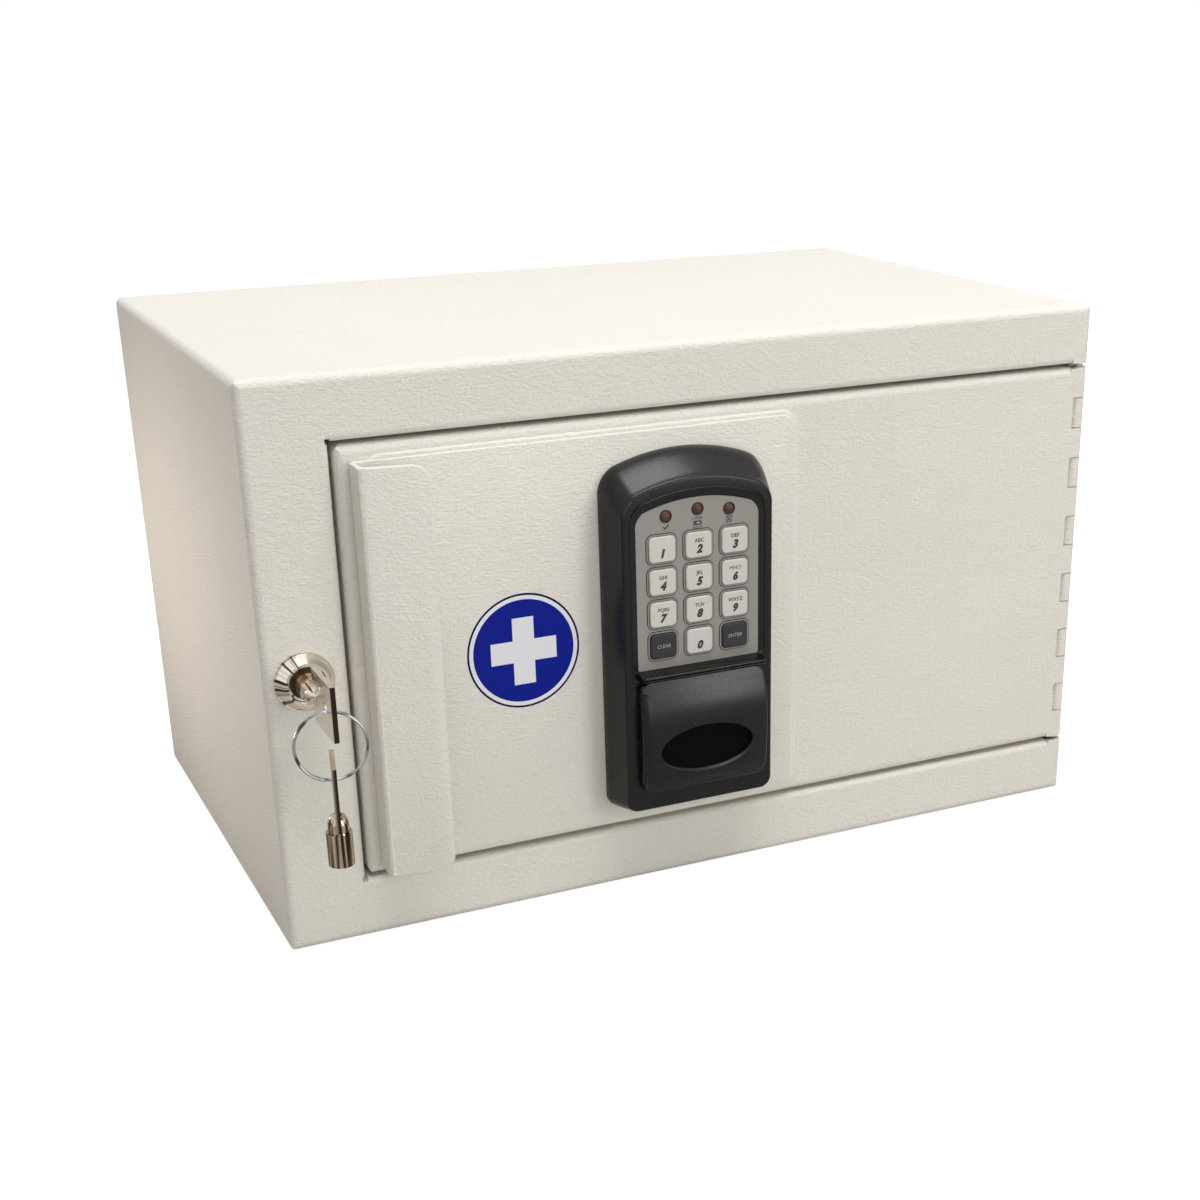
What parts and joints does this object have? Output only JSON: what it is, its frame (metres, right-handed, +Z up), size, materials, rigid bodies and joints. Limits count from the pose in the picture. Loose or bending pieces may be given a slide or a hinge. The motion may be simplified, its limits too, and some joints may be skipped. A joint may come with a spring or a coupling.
{
  "type": "lockable medicine cabinet",
  "caption": "Small steel medicine cabinet with a piano-hinged door, bent pull plate, keypad latch, and a cam lock with a tubular key in the front frame.",
  "frame": {"origin": "centre of the box's bottom face", "axes": "+X right seen from the front, +Y from the front to the back, +Z up"},
  "size_m": [0.355, 0.2605, 0.216],
  "materials": {
    "paint": "textured off-white powder coat",
    "nickel": "nickel plate",
    "zinc": "zinc-plated steel",
    "black_plastic": "fine satin texture",
    "grey_plastic": "satin",
    "key_white": "satin",
    "key_dark": "satin",
    "lens": "unlit lamp",
    "board": "solder-masked board",
    "cell": "sleeved cell",
    "cable": "matt",
    "brass": "cut"
  },
  "bodies": {
    "cabinet": {"cabinet_shell": "paint", "back_panel": "paint", "hinge_leaf": "paint", "hinge_pin": "nickel", "cam_lock_body": "nickel", "cam_lock_nut": "zinc"},
    "cam_plug": {"lock_plug": "nickel", "lock_cam": "zinc", "cam_nut": "zinc"},
    "lock_key": {"key_tube": "nickel", "key_bow": "nickel"},
    "key_ring": {"split_ring": "zinc"},
    "spare_key": {"spare_key_tube": "nickel", "spare_key_bow": "nickel"},
    "door": {"door_panel": "paint", "edge_angle": "paint", "pull_plate": "paint", "keypad_housing": "black_plastic", "keypad_fascia": "grey_plastic", "lamp_lenses": "lens", "circuit_board": "board", "battery_cells": "cell", "battery_contacts": "nickel", "keypad_cable": "cable", "mounting_screws": "zinc", "lock_case": "zinc", "lock_case_lid": "zinc", "lid_screws": "zinc", "bolt_guide": "zinc", "lock_motor": "zinc"},
    "cover": {"battery_cover": "black_plastic"},
    "bolt": {"latch_bolt": "zinc"},
    "pinion": {"drive_pinion": "brass"},
    "press_1": {"key_1": "key_white"},
    "press_2": {"key_2": "key_white"},
    "press_3": {"key_3": "key_white"},
    "press_4": {"key_4": "key_white"},
    "press_5": {"key_5": "key_white"},
    "press_6": {"key_6": "key_white"},
    "press_7": {"key_7": "key_white"},
    "press_8": {"key_8": "key_white"},
    "press_9": {"key_9": "key_white"},
    "press_clear": {"key_clear": "key_dark"},
    "press_0": {"key_0": "key_white"},
    "press_enter": {"key_enter": "key_dark"}
  },
  "joints": [
    {"name": "door_hinge", "type": "hinge", "parent": "cabinet", "child": "door", "pos_m": [0.1743, -0.1068, 0.108], "axis": [0, 0, 1], "range_deg": [0, 180]},
    {"name": "lock_turn", "type": "hinge", "parent": "cabinet", "child": "cam_plug", "pos_m": [-0.1625, -0.11, 0.107], "axis": [0, -1, 0], "range_deg": [0, 90]},
    {"name": "key_out", "type": "slide", "parent": "cam_plug", "child": "lock_key", "axis": [0, -1, 0], "range_m": [0, 0.03]},
    {"name": "ring_swing", "type": "hinge", "parent": "lock_key", "child": "key_ring", "pos_m": [-0.1625, -0.1404, 0.1054], "axis": [0.9744, -0.225, 0], "range_deg": [-90, 20]},
    {"name": "spare_swing", "type": "hinge", "parent": "key_ring", "child": "spare_key", "pos_m": [-0.1625, -0.1404, 0.0798], "axis": [0.9744, -0.225, 0], "range_deg": [-80, 45]},
    {"name": "cover_slide", "type": "slide", "parent": "door", "child": "cover", "axis": [0, 0, -1], "range_m": [0, 0.007]},
    {"name": "bolt_slide", "type": "slide", "parent": "door", "child": "bolt", "axis": [-1, 0, 0], "range_m": [0, 0.012]},
    {"name": "pinion_spin", "type": "hinge", "parent": "door", "child": "pinion", "pos_m": [-0.0195, -0.095, 0.08], "axis": [0, 1, 0], "range_deg": [0, 115]},
    {"name": "press_1", "type": "slide", "parent": "door", "child": "press_1", "axis": [0, 1, 0], "range_m": [0, 0.0009], "stiffness_N_per_m": 1500, "springref_m": -0.0002},
    {"name": "press_2", "type": "slide", "parent": "door", "child": "press_2", "axis": [0, 1, 0], "range_m": [0, 0.0009], "stiffness_N_per_m": 1500, "springref_m": -0.0002},
    {"name": "press_3", "type": "slide", "parent": "door", "child": "press_3", "axis": [0, 1, 0], "range_m": [0, 0.0009], "stiffness_N_per_m": 1500, "springref_m": -0.0002},
    {"name": "press_4", "type": "slide", "parent": "door", "child": "press_4", "axis": [0, 1, 0], "range_m": [0, 0.0009], "stiffness_N_per_m": 1500, "springref_m": -0.0002},
    {"name": "press_5", "type": "slide", "parent": "door", "child": "press_5", "axis": [0, 1, 0], "range_m": [0, 0.0009], "stiffness_N_per_m": 1500, "springref_m": -0.0002},
    {"name": "press_6", "type": "slide", "parent": "door", "child": "press_6", "axis": [0, 1, 0], "range_m": [0, 0.0009], "stiffness_N_per_m": 1500, "springref_m": -0.0002},
    {"name": "press_7", "type": "slide", "parent": "door", "child": "press_7", "axis": [0, 1, 0], "range_m": [0, 0.0009], "stiffness_N_per_m": 1500, "springref_m": -0.0002},
    {"name": "press_8", "type": "slide", "parent": "door", "child": "press_8", "axis": [0, 1, 0], "range_m": [0, 0.0009], "stiffness_N_per_m": 1500, "springref_m": -0.0002},
    {"name": "press_9", "type": "slide", "parent": "door", "child": "press_9", "axis": [0, 1, 0], "range_m": [0, 0.0009], "stiffness_N_per_m": 1500, "springref_m": -0.0002},
    {"name": "press_clear", "type": "slide", "parent": "door", "child": "press_clear", "axis": [0, 1, 0], "range_m": [0, 0.0009], "stiffness_N_per_m": 1500, "springref_m": -0.0002},
    {"name": "press_0", "type": "slide", "parent": "door", "child": "press_0", "axis": [0, 1, 0], "range_m": [0, 0.0009], "stiffness_N_per_m": 1500, "springref_m": -0.0002},
    {"name": "press_enter", "type": "slide", "parent": "door", "child": "press_enter", "axis": [0, 1, 0], "range_m": [0, 0.0009], "stiffness_N_per_m": 1500, "springref_m": -0.0002}
  ],
  "couplings": [
    {"joint": "pinion_spin", "follows": "bolt_slide", "rad_per_m": 166.67}
  ]
}
